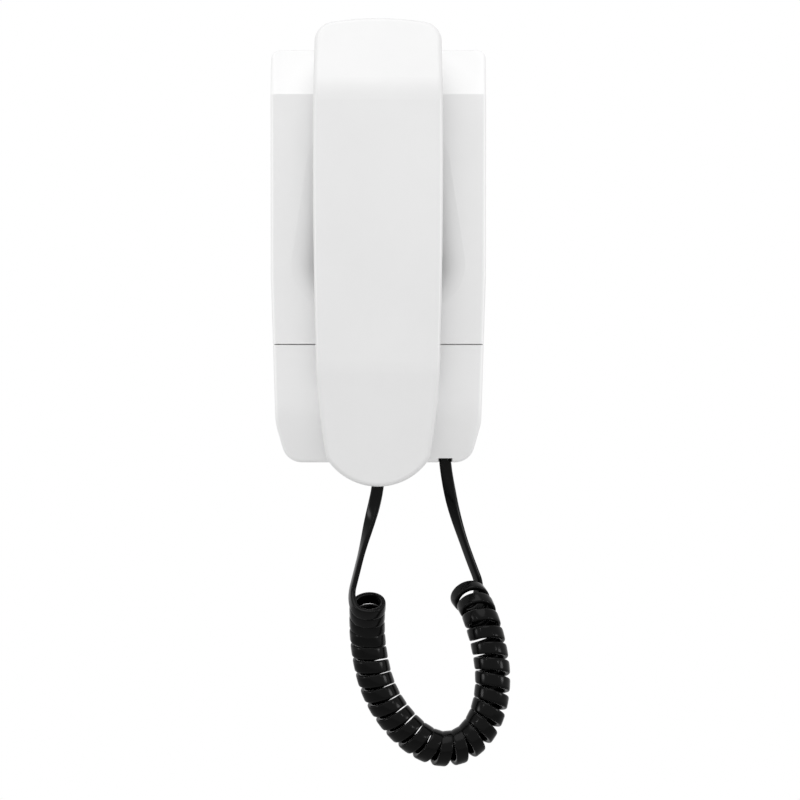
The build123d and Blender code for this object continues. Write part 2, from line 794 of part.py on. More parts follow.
# Handset body without its cups, cut in front by a slanted top, a gently bowed face and a slanted foot
def handset_block(inset):
    front = handset_front - inset
    brow = handset_top - top_facet_height
    chin = handset_bottom + low_facet_height
    top_end = front - belly_drop - top_facet_setback * (1 + overrun / top_facet_height)
    low_end = front - belly_drop - low_facet_setback * (1 + overrun / low_facet_height)
    low = handset_bottom - overrun
    high = handset_top + overrun
    with BuildPart() as block:
        extrude(handset_outline(handset_rear + inset, inset), amount=handset_front - handset_rear)
        with BuildSketch(Plane.YZ.offset(-handset_width)) as side:
            with BuildLine():
                Polyline((belly_drop - front, brow), (-top_end, high), (0, high), (0, low), (-low_end, low),
                         (belly_drop - front, chin))
                ThreePointArc((belly_drop - front, chin), (-front, (brow + chin) / 2),
                              (belly_drop - front, brow))
            make_face()
            fillet(at_height(side, brow), top_facet_round)
            fillet(at_height(side, chin), low_facet_round)
        extrude(amount=2 * handset_width, mode=Mode.INTERSECT)
    return block.part


handset_inner_rear = handset_rear + handset_wall
cup_inner_floor = cup_depth + handset_wall
screw_places = [(0, z) for z in handset_screw_heights]
receiver_place = [(0, ear_cup_centre + receiver_lift)]
microphone_place = [(0, mouth_cup_centre + microphone_lift)]

handset_skin = handset_block(0)
handset_core = handset_block(handset_wall)
cup_skins = [cup_block(z, h, cup_width, cup_depth, handset_inner_rear, cup_radius) for z, h in cups]
cup_cores = [cup_block(z, h - 2 * handset_wall, cup_width - 2 * handset_wall, cup_inner_floor,
                       handset_inner_rear + handset_wall, cup_radius - handset_wall) for z, h in cups]

with BuildPart() as handset_casing:
    add(handset_skin)
    rim = handset_casing.faces().filter_by(lambda f: f.normal_at().Y < -facing_share).edges()
    fillet(rim.filter_by(Axis.X, reverse=True), handset_rim_radius)
    back_rim = handset_casing.faces().sort_by(Axis.Y)[-1].edges()
    fillet(back_rim, handset_rim_radius)
    for skin in cup_skins:
        add(skin)
    add(handset_core, mode=Mode.SUBTRACT)
    for core in cup_cores:
        add(core, mode=Mode.SUBTRACT)


# A block of space between two depths, larger than the handset all round
def handset_space(low, high):
    middle = [(0, (handset_top + handset_bottom) / 2)]
    face = pads(low, handset_width + 2 * overrun, handset_length + 2 * overrun, middle)
    return extrude(face, amount=high - low)


rear_space = handset_space(cup_depth - overrun, handset_parting)
front_space = handset_space(handset_parting, handset_front + overrun)

with BuildPart() as handset_front_shell:
    add(handset_casing.part)
    add(front_space, mode=Mode.INTERSECT)
    front_boss = handset_front - belly_drop - handset_wall / 2 - handset_parting
    extrude(discs(handset_parting, handset_boss, screw_places), amount=front_boss)
    extrude(discs(handset_parting, handset_screw_size + pilot_clearance, screw_places),
            amount=handset_screw_reach + part_clearance, mode=Mode.SUBTRACT)
    slot = pads(handset_parting, slot_width, 2 * (handset_wall + handset_jack_gap), [(0, handset_bottom)])
    extrude(slot, amount=plug_centre + base_slot_height / 2 - handset_parting, mode=Mode.SUBTRACT)
save(handset_front_shell, "handset_front_shell")

with BuildPart() as handset_rear_shell:
    add(handset_casing.part)
    add(rear_space, mode=Mode.INTERSECT)
    extrude(discs(handset_rear, handset_boss, screw_places), amount=handset_parting - handset_rear)
    extrude(discs(handset_rear, handset_screw_size + part_clearance, screw_places),
            amount=handset_parting - handset_rear, mode=Mode.SUBTRACT)
    extrude(discs(handset_rear, handset_screw_head + 2 * part_clearance, screw_places),
            amount=handset_screw_seat, mode=Mode.SUBTRACT)
    for place, bore in ((receiver_place, receiver_diameter), (microphone_place, boot_diameter)):
        collar = bore + 2 * (collar_clearance + collar_wall)
        extrude(discs(cup_inner_floor, collar, place), amount=collar_height)
        extrude(discs(cup_inner_floor, collar - 2 * collar_wall, place), amount=collar_height,
                mode=Mode.SUBTRACT)
    stop = ballast_length / 2 + part_clearance + rib_wall / 2
    ribs = [(0, ballast_z + side * stop) for side in (-1, 1)]
    extrude(pads(handset_inner_rear, ballast_width, rib_wall, ribs), amount=rib_height)
    extrude(sound_holes(cup_depth, receiver_place, ear_hole, ear_ring_radius, ear_ring_count),
            amount=handset_wall, mode=Mode.SUBTRACT)
    extrude(sound_holes(cup_depth, microphone_place, mouth_hole, mouth_ring_radius, mouth_ring_count),
            amount=handset_wall, mode=Mode.SUBTRACT)
save(handset_rear_shell, "handset_rear_shell")

receiver_back = cup_inner_floor + receiver_gasket_height
with BuildPart() as receiver_capsule:
    extrude(discs(receiver_back, receiver_diameter, receiver_place), amount=receiver_height)
    extrude(discs(receiver_back, receiver_dome, receiver_place), amount=receiver_dome_height,
            mode=Mode.SUBTRACT)
save(receiver_capsule, "receiver_capsule")

with BuildPart() as receiver_gasket:
    extrude(discs(cup_inner_floor, receiver_diameter, receiver_place), amount=receiver_gasket_height)
    extrude(discs(cup_inner_floor, receiver_diameter - 2 * receiver_gasket_width, receiver_place),
            amount=receiver_gasket_height, mode=Mode.SUBTRACT)
save(receiver_gasket, "receiver_gasket")

with BuildPart() as microphone_capsule:
    extrude(discs(cup_inner_floor, microphone_diameter, microphone_place), amount=microphone_height)
save(microphone_capsule, "microphone_capsule")

with BuildPart() as microphone_boot:
    extrude(discs(cup_inner_floor, boot_diameter, microphone_place), amount=boot_height)
    extrude(discs(cup_inner_floor, microphone_diameter + 2 * pilot_clearance, microphone_place),
            amount=boot_height, mode=Mode.SUBTRACT)
save(microphone_boot, "microphone_boot")

with BuildPart() as ballast_weight:
    extrude(pads(handset_inner_rear, ballast_width, ballast_length, [(0, ballast_z)], ballast_round),
            amount=ballast_height)
save(ballast_weight, "ballast_weight")

handset_screw_run = handset_parting - handset_rear - handset_screw_seat + handset_screw_reach
handset_screws = screws(screw_places, handset_rear + handset_screw_seat, handset_screw_size,
                        handset_screw_head, handset_screw_head_height, handset_screw_run, 1)
save(handset_screws, "handset_screws")

with BuildPart() as screw_caps:
    cap = handset_screw_head + 2 * part_clearance - 2 * screw_cap_clearance
    extrude(discs(handset_rear, cap, screw_places), amount=screw_cap_height)
save(screw_caps, "screw_caps")


# Tubes along a route: straight runs joined by the largest arcs that the runs allow
def route_point(point):
    return Vector(point[0], -point[1], point[2])


def tube(name, route, diameter):
    points = [route_point(p) for p in route]
    radii = []
    for before, corner, after in zip(points, points[1:], points[2:]):
        shorter = min((corner - before).length, (after - corner).length)
        half_turn = radians((corner - before).get_angle(after - corner)) / 2
        radii.append(round_share * shorter / tan(half_turn))
    with BuildPart() as body:
        with BuildLine() as path:
            FilletPolyline(*points, radius=radii)
        with BuildSketch(Plane(origin=points[0], z_dir=points[1] - points[0])):
            Circle(diameter / 2)
        sweep(path=path.wires()[0])
    run = path.wires()[0].length
    print(name, "radii", [round(r, 1) for r in radii], "length", round(run, 1), "volume",
          round(body.part.volume, 1), "of", round(run * pi * diameter ** 2 / 4, 1))
    save(body, name)
    return points, run


wire_foot = handset_jack_bottom + jack_length
receiver_front = receiver_back + receiver_height
receiver_height_up = receiver_place[0][1]
microphone_height_up = microphone_place[0][1]
receiver_route = [(wire_side, plug_centre, wire_foot), (wire_side, plug_centre, wire_foot + wire_stub)]
receiver_route += [(x, handset_rear + rise, z) for x, rise, z in receiver_wire_points]
receiver_route += [(0, receiver_front + wire_bend_rise, receiver_height_up),
                   (0, receiver_front, receiver_height_up)]
tube("receiver_wires", receiver_route, wire_diameter)
microphone_route = [(-wire_side, plug_centre, wire_foot), (-wire_side, plug_centre, wire_foot + wire_stub),
                    (-microphone_wire_inset, handset_rear + microphone_wire_rise, microphone_height_up),
                    (-microphone_wire_inset, cup_inner_floor + microphone_height, microphone_height_up)]
tube("microphone_wires", microphone_route, wire_diameter)
handset_exit = [(0, plug_centre, handset_jack_bottom),
                (0, plug_centre, handset_jack_bottom - lead_drop)]
base_exit = [(base_jack_x, base_plug_depth, jack_bottom),
             (base_jack_x, base_plug_depth, jack_bottom - lead_drop)]
lead_handset, lead_handset_run = tube("cord_lead_handset", handset_exit + list(lead_handset_points),
                                      cord_diameter)
lead_base, lead_base_run = tube("cord_lead_base", base_exit + list(lead_base_points), cord_diameter)


# Middle line as points, each with its direction and a side vector that doesn't twist about it
def carried_frames(line, count, side):
    spots = [line.position_at(i / count) for i in range(count + 1)]
    frames = []
    for i, spot in enumerate(spots):
        along = (spots[min(i + 1, count)] - spots[max(i - 1, 0)]).normalized()
        side = (side - along * side.dot(along)).normalized()
        frames.append((spot, along, side))
    return frames


def curl_point(frames, index, radius, angle):
    spot, along, side = frames[index]
    turned = angle * index / (len(frames) - 1)
    return spot + side * (radius * cos(turned)) + side.cross(along) * (radius * sin(turned))


# Points and directions of a left-hand helix about the frames, one for each step
def curl_nodes(frames, radius, angle):
    last = len(frames) - 1
    nodes = []
    for i in range(0, last + 1, fine_steps):
        ahead = curl_point(frames, min(i + 1, last), radius, angle)
        behind = curl_point(frames, max(i - 1, 0), radius, angle)
        nodes.append((curl_point(frames, i, radius, angle), (ahead - behind).normalized()))
    return nodes


# Where the two arcs of a biarc meet, for equal tangent lengths
def biarc_joint(start, start_way, end, end_way):
    chord = end - start
    ways = start_way + end_way
    bend = 2 * (1 - start_way.dot(end_way))
    reach = chord.dot(ways)
    tangent = (sqrt(reach ** 2 + bend * chord.dot(chord)) - reach) / bend
    return (start + start_way * tangent + end - end_way * tangent) * 0.5


def biarc_edges(nodes):
    edges = []
    for (start, start_way), (end, end_way) in zip(nodes, nodes[1:]):
        joint = biarc_joint(start, start_way, end, end_way)
        first = Edge.make_tangent_arc(start, start_way, joint)
        edges += [first, Edge.make_tangent_arc(joint, first % 1, end)]
    return edges


def wound_tube(edges, diameter):
    with BuildPart() as body:
        with BuildSketch(Plane(origin=edges[0] @ 0, z_dir=edges[0] % 0)):
            Circle(diameter / 2)
        sweep(path=Wire(edges))
    return body


# Least gap between turns: distance between points at least half a turn apart, less the diameter
def least_gap(edges, diameter, coil_size):
    spots = []
    run = 0
    for edge in edges:
        count = max(2, ceil(edge.length * gap_steps / (pi * coil_size)))
        for i in range(count):
            spot = edge.position_at(i / count)
            spots.append((run + edge.length * i / count, spot.X, spot.Y, spot.Z))
        run += edge.length
    nearest = coil_size
    for i, (at, x, y, z) in enumerate(spots):
        for other, ox, oy, oz in spots[i + 1:]:
            if other - at > pi * coil_size / 2:
                nearest = min(nearest, sqrt((x - ox) ** 2 + (y - oy) ** 2 + (z - oz) ** 2))
    return nearest - diameter


# Small return springs, drawn at their length at rest
def return_spring(name, place, low, high, diameter, turns):
    x, z = place
    ends = [Vector(x, -depth, z) for depth in (low + spring_wire / 2, high - spring_wire / 2)]
    steps = turns * coil_steps
    frames = carried_frames(Edge.make_line(*ends), steps * fine_steps, Vector(1, 0, 0))
    radius = (diameter - spring_wire) / 2
    edges = biarc_edges(curl_nodes(frames, radius, 2 * pi * turns))
    print(name, "gap", round(least_gap(edges, spring_wire, 2 * radius), 2))
    save(wound_tube(edges, spring_wire), name)


return_spring("hook_spring", hook_place[0], hook_cavity_floor, hook_flange_back, hook_spring_diameter,
              hook_spring_turns)
return_spring("door_spring", door_place[0], door_switch_top, door_flange_back, door_spring_diameter,
              door_spring_turns)

# Curls of the cord: from the handset's lead at the coil's left to the base's lead at its right
coil_radius = (coil_diameter - cord_diameter) / 2
middle_line = Edge.make_spline([route_point(p) for p in coil_points])
trial = carried_frames(middle_line, fine_steps * coil_steps * coil_turns, Vector(-1, 0, 0))
end_spot, end_along, end_side = trial[-1]
right = Vector(1, 0, 0)
last_turn = atan2(right.dot(end_side.cross(end_along)), right.dot(end_side)) % (2 * pi)
coil_angle = 2 * pi * (coil_turns - 1) + last_turn
coil_count = round(coil_angle / (2 * pi) * coil_steps)
frames = carried_frames(middle_line, fine_steps * coil_count, Vector(-1, 0, 0))
nodes = curl_nodes(frames, coil_radius, coil_angle)
first_way = (lead_handset[-1] - lead_handset[-2]).normalized()
last_way = (lead_base[-2] - lead_base[-1]).normalized()
coil_start = lead_handset[-1] + first_way * cord_diameter
coil_end = lead_base[-1] - last_way * cord_diameter
nodes = [(coil_start, first_way)] + nodes[1:-1] + [(coil_end, last_way)]
coil_edges = [Edge.make_line(lead_handset[-1], coil_start)] + biarc_edges(nodes)
coil_edges.append(Edge.make_line(coil_end, lead_base[-1]))
cord_coil = wound_tube(coil_edges, cord_diameter)
coil_run = sum(edge.length for edge in coil_edges)
arcs = [edge.radius for edge in coil_edges if edge.geom_type == GeomType.CIRCLE]
print("cord_coil turns", round(coil_angle / (2 * pi), 2), "length", round(coil_run, 1), "radii",
      round(min(arcs), 2), round(max(arcs), 2), "volume", round(cord_coil.part.volume, 1), "of",
      round(coil_run * pi * cord_diameter ** 2 / 4, 1))
print("cord_coil gap to itself", round(least_gap(coil_edges, cord_diameter, 2 * coil_radius), 2))
print("cord length", round(coil_run + lead_handset_run + lead_base_run, 1))
save(cord_coil, "cord_coil")
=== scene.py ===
import bpy
import bmesh
import json
from math import atan2, cos, pi, sin
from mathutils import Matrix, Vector


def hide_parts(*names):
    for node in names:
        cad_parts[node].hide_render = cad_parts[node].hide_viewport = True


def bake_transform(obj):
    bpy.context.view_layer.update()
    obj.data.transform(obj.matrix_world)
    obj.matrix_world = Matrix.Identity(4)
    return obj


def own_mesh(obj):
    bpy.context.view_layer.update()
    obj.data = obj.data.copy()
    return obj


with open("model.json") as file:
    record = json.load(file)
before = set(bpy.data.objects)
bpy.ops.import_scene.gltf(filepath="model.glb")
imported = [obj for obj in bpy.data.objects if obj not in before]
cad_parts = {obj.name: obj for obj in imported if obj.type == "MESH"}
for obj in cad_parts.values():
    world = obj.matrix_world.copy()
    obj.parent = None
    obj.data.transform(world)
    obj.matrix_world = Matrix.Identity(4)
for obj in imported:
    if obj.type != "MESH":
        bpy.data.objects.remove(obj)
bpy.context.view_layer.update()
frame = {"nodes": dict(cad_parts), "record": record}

nodes = frame["nodes"]
print("frame loaded with", len(nodes), "nodes")

# Camera, lamps and floor, for the photograph's frontal view
view = {"distance": 1.6, "x": 0.00975, "z": -0.06525, "lens": 157.0, "sensor": 36.0}
lamps = {
    "keyLamp": {"place": (-0.14, -0.95, 1.8), "size": 2.1, "power": 23.4},
    "leftStrip": {"place": (-1.5, -0.7, 0.1), "size": 0.5, "power": 5.3},
    "rightStrip": {"place": (1.5, -0.7, 0.1), "size": 0.5, "power": 6.0},
    "glintLeft": {"place": (-0.9, -1.3, 0.5), "size": 0.1, "power": 1.0},
    "glintRight": {"place": (1.1, -1.2, 0.35), "size": 0.1, "power": 1.0},
}
lampTarget = (0, 0, -0.03)
white = (1, 1, 1, 1)
room = {
    "floorHeight": -1.4, "floorSize": 10.0, "floorGlow": 0.1,
    "floorColor": (0.9, 0.9, 0.9, 1), "floorRoughness": 0.8,
    "light": 0.46, "seenLight": 1.0,
}


def aimAt(thing, target):
    way = Vector(target) - thing.location
    thing.rotation_euler = way.to_track_quat("-Z", "Y").to_euler()


def makeCamera():
    lens = bpy.data.cameras.new("photoCamera")
    lens.lens = view["lens"]
    lens.sensor_width = view["sensor"]
    camera = bpy.data.objects.new("photoCamera", lens)
    bpy.context.collection.objects.link(camera)
    camera.location = (view["x"], -view["distance"], view["z"])
    camera.rotation_euler = (pi / 2, 0, 0)
    bpy.context.scene.camera = camera


def makeLamps():
    for name, lamp in lamps.items():
        light = bpy.data.lights.new(name, "AREA")
        light.shape = "DISK"
        light.size = lamp["size"]
        light.energy = lamp["power"]
        piece = bpy.data.objects.new(name, light)
        bpy.context.collection.objects.link(piece)
        piece.location = lamp["place"]
        aimAt(piece, lampTarget)


def makeWorld():
    world = bpy.data.worlds.new("softRoom")
    bpy.context.scene.world = world
    world.use_nodes = True
    tree = world.node_tree
    tree.nodes.clear()
    out = tree.nodes.new("ShaderNodeOutputWorld")
    soft = tree.nodes.new("ShaderNodeBackground")
    plain = tree.nodes.new("ShaderNodeBackground")
    mix = tree.nodes.new("ShaderNodeMixShader")
    rays = tree.nodes.new("ShaderNodeLightPath")
    soft.inputs["Strength"].default_value = room["light"]
    soft.inputs["Color"].default_value = white
    plain.inputs["Color"].default_value = white
    plain.inputs["Strength"].default_value = room["seenLight"]
    seen = None  # camera, glossy and transmission rays see white
    for ray in ("Is Camera Ray", "Is Glossy Ray", "Is Transmission Ray"):
        if seen is None:
            seen = rays.outputs[ray]
            continue
        most = tree.nodes.new("ShaderNodeMath")
        most.operation = "MAXIMUM"
        tree.links.new(seen, most.inputs[0])
        tree.links.new(rays.outputs[ray], most.inputs[1])
        seen = most.outputs[0]
    tree.links.new(seen, mix.inputs[0])
    tree.links.new(soft.outputs[0], mix.inputs[1])
    tree.links.new(plain.outputs[0], mix.inputs[2])
    tree.links.new(mix.outputs[0], out.inputs[0])


def makeFloor():
    half = room["floorSize"] / 2
    low = room["floorHeight"]
    mesh = bpy.data.meshes.new("floor")
    corners = [(-half, -half, low), (half, -half, low), (half, half, low), (-half, half, low)]
    mesh.from_pydata(corners, [], [(0, 1, 2, 3)])
    floor = bpy.data.objects.new("floor", mesh)
    bpy.context.collection.objects.link(floor)
    matt = bpy.data.materials.new("floorPaint")
    matt.use_nodes = True
    shader = matt.node_tree.nodes["Principled BSDF"]
    shader.inputs["Base Color"].default_value = room["floorColor"]
    shader.inputs["Emission Color"].default_value = white
    shader.inputs["Emission Strength"].default_value = room["floorGlow"]
    shader.inputs["Roughness"].default_value = room["floorRoughness"]
    mesh.materials.append(matt)


makeCamera()
makeLamps()
makeWorld()
makeFloor()
bpy.context.scene.view_settings.view_transform = "Standard"
print("camera, lamps and floor are set")


# Finishes, all worked out from object coordinates
def newFinish(name):
    finish = bpy.data.materials.new(name)
    finish.use_nodes = True
    tree = finish.node_tree
    return finish, tree, tree.nodes["Principled BSDF"]


def objectPoints(tree):
    return tree.nodes.new("ShaderNodeTexCoord").outputs["Object"]


def grainOf(tree, points, scale, detail=3.0, roughness=0.55):
    grain = tree.nodes.new("ShaderNodeTexNoise")
    grain.inputs["Scale"].default_value = scale
    grain.inputs["Detail"].default_value = detail
    grain.inputs["Roughness"].default_value = roughness
    tree.links.new(points, grain.inputs["Vector"])
    return grain.outputs["Fac"]


def spread(tree, value, low, high):
    span = tree.nodes.new("ShaderNodeMapRange")
    span.inputs["To Min"].default_value = low
    span.inputs["To Max"].default_value = high
    tree.links.new(value, span.inputs["Value"])
    return span.outputs["Result"]


tintEnds = (0.3, 0.7)


def tinted(tree, value, dark, light):
    ramp = tree.nodes.new("ShaderNodeValToRGB")
    for end, place, color in zip(ramp.color_ramp.elements, tintEnds, (dark, light)):
        end.position = place
        end.color = (*color, 1)
    tree.links.new(value, ramp.inputs["Fac"])
    return ramp.outputs["Color"]


def bumped(tree, value, strength, distance, shader):
    bump = tree.nodes.new("ShaderNodeBump")
    bump.inputs["Strength"].default_value = strength
    bump.inputs["Distance"].default_value = distance
    tree.links.new(value, bump.inputs["Height"])
    tree.links.new(bump.outputs["Normal"], shader.inputs["Normal"])


plasticLook = {
    "cloudScale": 22.0, "cloudDetail": 4.0, "glossScale": 140.0, "glossDetail": 5.0, "glossSpread": 0.05,
    "grainDetail": 2.0, "grainStrength": 0.35,
}


def mouldedPlastic(name, color, roughness, grainScale=2600.0, grainDepth=0.00004, specular=0.5,
                   shade=0.03):
    look = plasticLook
    finish, tree, shader = newFinish(name)
    points = objectPoints(tree)
    cloud = grainOf(tree, points, look["cloudScale"], look["cloudDetail"])
    darker = tuple(c * (1 - shade) for c in color)
    tree.links.new(tinted(tree, cloud, darker, color), shader.inputs["Base Color"])
    gloss = grainOf(tree, points, look["glossScale"], look["glossDetail"])
    uneven = spread(tree, gloss, roughness - look["glossSpread"], roughness + look["glossSpread"])
    tree.links.new(uneven, shader.inputs["Roughness"])
    grain = grainOf(tree, points, grainScale, look["grainDetail"])
    bumped(tree, grain, look["grainStrength"], grainDepth, shader)
    shader.inputs["Specular IOR Level"].default_value = specular
    return finish


metalLook = {
    "darkShare": 0.82, "cloudScale": 300.0, "cloudDetail": 4.0, "scratchScale": 900.0,
    "glossDetail": 6.0, "glossDrop": 0.08, "glossRise": 0.1,
    "grainDetail": 4.0, "grainStrength": 0.2, "grainDepth": 0.00003,
}


def metal(name, color, roughness):
    look = metalLook
    finish, tree, shader = newFinish(name)
    points = objectPoints(tree)
    darker = tuple(c * look["darkShare"] for c in color)
    cloud = grainOf(tree, points, look["cloudScale"], look["cloudDetail"])
    tree.links.new(tinted(tree, cloud, darker, color), shader.inputs["Base Color"])
    shader.inputs["Metallic"].default_value = 1.0
    gloss = grainOf(tree, points, look["scratchScale"], look["glossDetail"])
    uneven = spread(tree, gloss, roughness - look["glossDrop"], roughness + look["glossRise"])
    tree.links.new(uneven, shader.inputs["Roughness"])
    grain = grainOf(tree, points, look["scratchScale"], look["grainDetail"])
    bumped(tree, grain, look["grainStrength"], look["grainDepth"], shader)
    return finish


foamLook = {"cellScale": 1500.0, "lightShare": 1.8, "roughness": 0.95, "strength": 0.7, "depth": 0.0002}


def foam(name, color):
    finish, tree, shader = newFinish(name)
    points = objectPoints(tree)
    cells = tree.nodes.new("ShaderNodeTexVoronoi")
    cells.inputs["Scale"].default_value = foamLook["cellScale"]
    tree.links.new(points, cells.inputs["Vector"])
    light = tuple(min(1.0, c * foamLook["lightShare"]) for c in color)
    tree.links.new(tinted(tree, cells.outputs["Distance"], color, light), shader.inputs["Base Color"])
    shader.inputs["Roughness"].default_value = foamLook["roughness"]
    bumped(tree, cells.outputs["Distance"], foamLook["strength"], foamLook["depth"], shader)
    return finish


boardLook = {
    "weave": {
        "Scale": 260.0, "Mortar Size": 0.03,
        "Color1": (0.012, 0.11, 0.035, 1), "Color2": (0.016, 0.13, 0.045, 1), "Mortar": (0.05, 0.2, 0.07, 1),
    },
    "roughness": 0.35, "grainScale": 500.0, "grainStrength": 0.2, "grainDepth": 0.00005,
}


def boardLaminate(name):
    look = boardLook
    finish, tree, shader = newFinish(name)
    points = objectPoints(tree)
    weave = tree.nodes.new("ShaderNodeTexBrick")
    for setting, value in look["weave"].items():
        weave.inputs[setting].default_value = value
    turned = tree.nodes.new("ShaderNodeMapping")
    turned.inputs["Rotation"].default_value = (pi / 2, 0, 0)
    tree.links.new(points, turned.inputs["Vector"])
    tree.links.new(turned.outputs["Vector"], weave.inputs["Vector"])
    tree.links.new(weave.outputs["Color"], shader.inputs["Base Color"])
    shader.inputs["Roughness"].default_value = look["roughness"]
    grain = grainOf(tree, points, look["grainScale"])
    bumped(tree, grain, look["grainStrength"], look["grainDepth"], shader)
    return finish


finishes = {
    "casing": mouldedPlastic("casingPlastic", (0.91, 0.91, 0.91), 0.36),
    "handset": mouldedPlastic("handsetPlastic", (0.825, 0.825, 0.825), 0.33),
    "button": mouldedPlastic("buttonPlastic", (0.42, 0.44, 0.47), 0.4),
    "cord_jacket": mouldedPlastic("cordVinyl", (0.003, 0.003, 0.003), 0.17, 900.0, 0.00002, 0.09, 0.2),
    "plug_plastic": mouldedPlastic("plugPlastic", (0.02, 0.02, 0.022), 0.25),
    "socket_plastic": mouldedPlastic("socketPlastic", (0.02, 0.02, 0.022), 0.5),
    "switch_plastic": mouldedPlastic("switchPlastic", (0.05, 0.05, 0.055), 0.45),
    "board": boardLaminate("boardLaminate"),
    "chip": mouldedPlastic("chipEpoxy", (0.015, 0.015, 0.016), 0.55, 1800.0, 0.00006),
    "screw_steel": metal("screwZinc", (0.62, 0.63, 0.65), 0.32),
    "spring_steel": metal("springSteel", (0.55, 0.56, 0.58), 0.28),
    "clamp_brass": metal("clampNickel", (0.72, 0.66, 0.5), 0.3),
    "terminal_plastic": mouldedPlastic("terminalPlastic", (0.03, 0.16, 0.07), 0.42),
    "transformer_core": metal("coreSteel", (0.20, 0.19, 0.18), 0.5),
    "capacitor_can": mouldedPlastic("canSleeve", (0.02, 0.025, 0.06), 0.3),
    "speaker_black": mouldedPlastic("speakerPlastic", (0.02, 0.02, 0.022), 0.6),
    "capsule_metal": metal("capsuleAluminium", (0.7, 0.7, 0.71), 0.35),
    "foam": foam("foamCells", (0.03, 0.03, 0.032)),
    "soft_rubber": mouldedPlastic("bootRubber", (0.015, 0.015, 0.015), 0.75),
    "ballast_iron": metal("ballastIron", (0.17, 0.165, 0.16), 0.6),
    "wire_insulation": mouldedPlastic("wireVinyl", (0.4, 0.02, 0.02), 0.4),
}
slotOfNode = {row["node"]: row["material_slot"] for row in frame["record"]["subparts"]}


def dressNodes():
    for name, piece in nodes.items():
        piece.data.materials.clear()
        piece.data.materials.append(finishes[slotOfNode[name]])


dressNodes()
print("finishes are on every node")

# Curly cord: a flat ribbon, wound about the route that the source gives its coil
curlyCord = {
    "width": 0.0055, "thickness": 0.0024, "squareness": 0.42, "coilWidth": 0.0160,
    "turns": 27, "ringsPerTurn": 36, "leadRings": 46, "joinRings": 10, "joinTurnPart": 5,
    "endLoosening": 0.08, "openingPower": 1.06, "twistShare": 0.62,
    "sectionPoints": 20, "routeResolution": 32, "routeOrder": 3,
    "handsetLead": ((0, 42.7, -100.3), (0, 42.7, -105.7), (-5.7, 43.2, -126.5),
                    (-11.2, 44.4, -148.6)),
    "baseLead": ((30.2, 12.1, -90.7), (30.2, 12.1, -96.1), (35.6, 11.0, -122.5),
                 (44.6, 8.2, -145.5)),
    "middle": ((-4.8, 46.0, -155.0), (-5.0, 39.5, -162.5), (-4.9, 36.5, -171.5), (-3.6, 35.5, -181.5),
               (-1.0, 34.8, -192.5), (4.2, 34.0, -203.3), (12.3, 33.0, -213.3), (20.5, 32.0, -219.6),
               (29.0, 31.0, -222.6), (38.6, 30.0, -220.6), (46.2, 29.0, -213.2), (50.6, 28.0, -202.5),
               (51.9, 26.8, -189.5), (49.9, 24.5, -175.6), (46.6, 21.5, -164.5), (43.4, 15.6, -156.6),
               (39.6, 8.6, -152.6)),
}
millimetres = 1000  # in a metre; the routes above are in millimetres


def inMetres(route):
    return [Vector((x / millimetres, -depth / millimetres, z / millimetres)) for x, depth, z in route]


def pointsOnSpline(route):
    line = bpy.data.curves.new("routeLine", "CURVE")
    line.dimensions = "3D"
    line.resolution_u = curlyCord["routeResolution"]
    spline = line.splines.new("NURBS")
    spline.points.add(len(route) - 1)
    for point, place in zip(spline.points, inMetres(route)):
        point.co = (*place, 1)
    spline.order_u = curlyCord["routeOrder"]
    spline.use_endpoint_u = True
    holder = bpy.data.objects.new("routeLine", line)
    bpy.context.collection.objects.link(holder)
    bpy.context.view_layer.update()
    drawn = holder.evaluated_get(bpy.context.evaluated_depsgraph_get())
    mesh = bpy.data.meshes.new_from_object(drawn)
    places = [v.co.copy() for v in mesh.vertices]
    bpy.data.objects.remove(holder)
    bpy.data.curves.remove(line)
    bpy.data.meshes.remove(mesh)
    return places


# Points at even steps along a line, or at steps that widen towards its end where the power is over 1
def evenly(places, count, power=1.0):
    runs = [0.0]
    for a, b in zip(places, places[1:]):
        runs.append(runs[-1] + (b - a).length)
    result, k = [], 0
    for i in range(count + 1):
        at = runs[-1] * (i / count) ** power
        while k < len(runs) - 2 and runs[k + 1] < at:
            k += 1
        share = (at - runs[k]) / max(runs[k + 1] - runs[k], 1e-9)
        result.append(places[k].lerp(places[k + 1], min(max(share, 0), 1)))
    return result


def framesAlong(spots, side):
    frames, last = [], len(spots) - 1
    for i, spot in enumerate(spots):
        along = (spots[min(i + 1, last)] - spots[max(i - 1, 0)]).normalized()
        side = (side - along * side.dot(along)).normalized()
        frames.append((spot, along, side.copy()))
    return frames


def lastTurnShare(frames, right):
    spot, along, side = frames[-1]
    return (atan2(right.dot(side.cross(along)), right.dot(side)) % (2 * pi)) / (2 * pi)


# Smooth join between the end of one run and the start of the next
def bridge(before, after, count):
    start, end = before[1], after[0]
    startWay = (before[1] - before[0]).normalized()
    endWay = (after[1] - after[0]).normalized()
    reach = (end - start).length
    result = []
    for i in range(1, count):
        t = i / count
        a, b = 2 * t ** 3 - 3 * t ** 2 + 1, t ** 3 - 2 * t ** 2 + t
        c, d = 3 * t ** 2 - 2 * t ** 3, t ** 3 - t ** 2
        result.append(start * a + startWay * (b * reach) + end * c + endWay * (d * reach))
    return result


